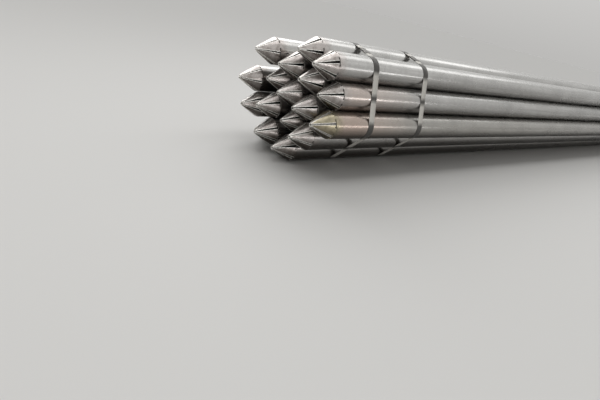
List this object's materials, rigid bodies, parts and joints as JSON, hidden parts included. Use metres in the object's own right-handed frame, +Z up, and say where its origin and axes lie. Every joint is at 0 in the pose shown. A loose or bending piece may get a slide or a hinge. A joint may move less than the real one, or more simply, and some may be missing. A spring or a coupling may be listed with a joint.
{
  "type": "bundle of steel pipes",
  "caption": "Strapped bundle of galvanised steel pipes, each with one end folded to a point in six petals and the other end open.",
  "frame": {"origin": "on the floor, at the middle of the bundle's length and width", "axes": "+X along the pipes from their points to their open ends, +Y from the bundle's near side to its far side, +Z up"},
  "size_m": [6.105, 0.5594, 0.5298],
  "materials": {
    "galvanised_tube": "satin",
    "strap_steel": "satin",
    "seal_steel": "satin"
  },
  "bodies": {
    "root": {"pipe_01": "galvanised_tube", "pipe_02": "galvanised_tube", "pipe_03": "galvanised_tube", "pipe_04": "galvanised_tube", "pipe_05": "galvanised_tube", "pipe_06": "galvanised_tube", "pipe_07": "galvanised_tube", "pipe_08": "galvanised_tube", "pipe_09": "galvanised_tube", "pipe_10": "galvanised_tube", "pipe_11": "galvanised_tube", "pipe_12": "galvanised_tube", "pipe_13": "galvanised_tube", "pipe_14": "galvanised_tube", "pipe_15": "galvanised_tube", "pipe_16": "galvanised_tube", "pipe_17": "galvanised_tube", "pipe_18": "galvanised_tube", "strap_1": "strap_steel", "strap_2": "strap_steel", "strap_3": "strap_steel", "strap_4": "strap_steel", "strap_seal_1": "seal_steel", "strap_seal_2": "seal_steel", "strap_seal_3": "seal_steel", "strap_seal_4": "seal_steel"}
  },
  "joints": []
}
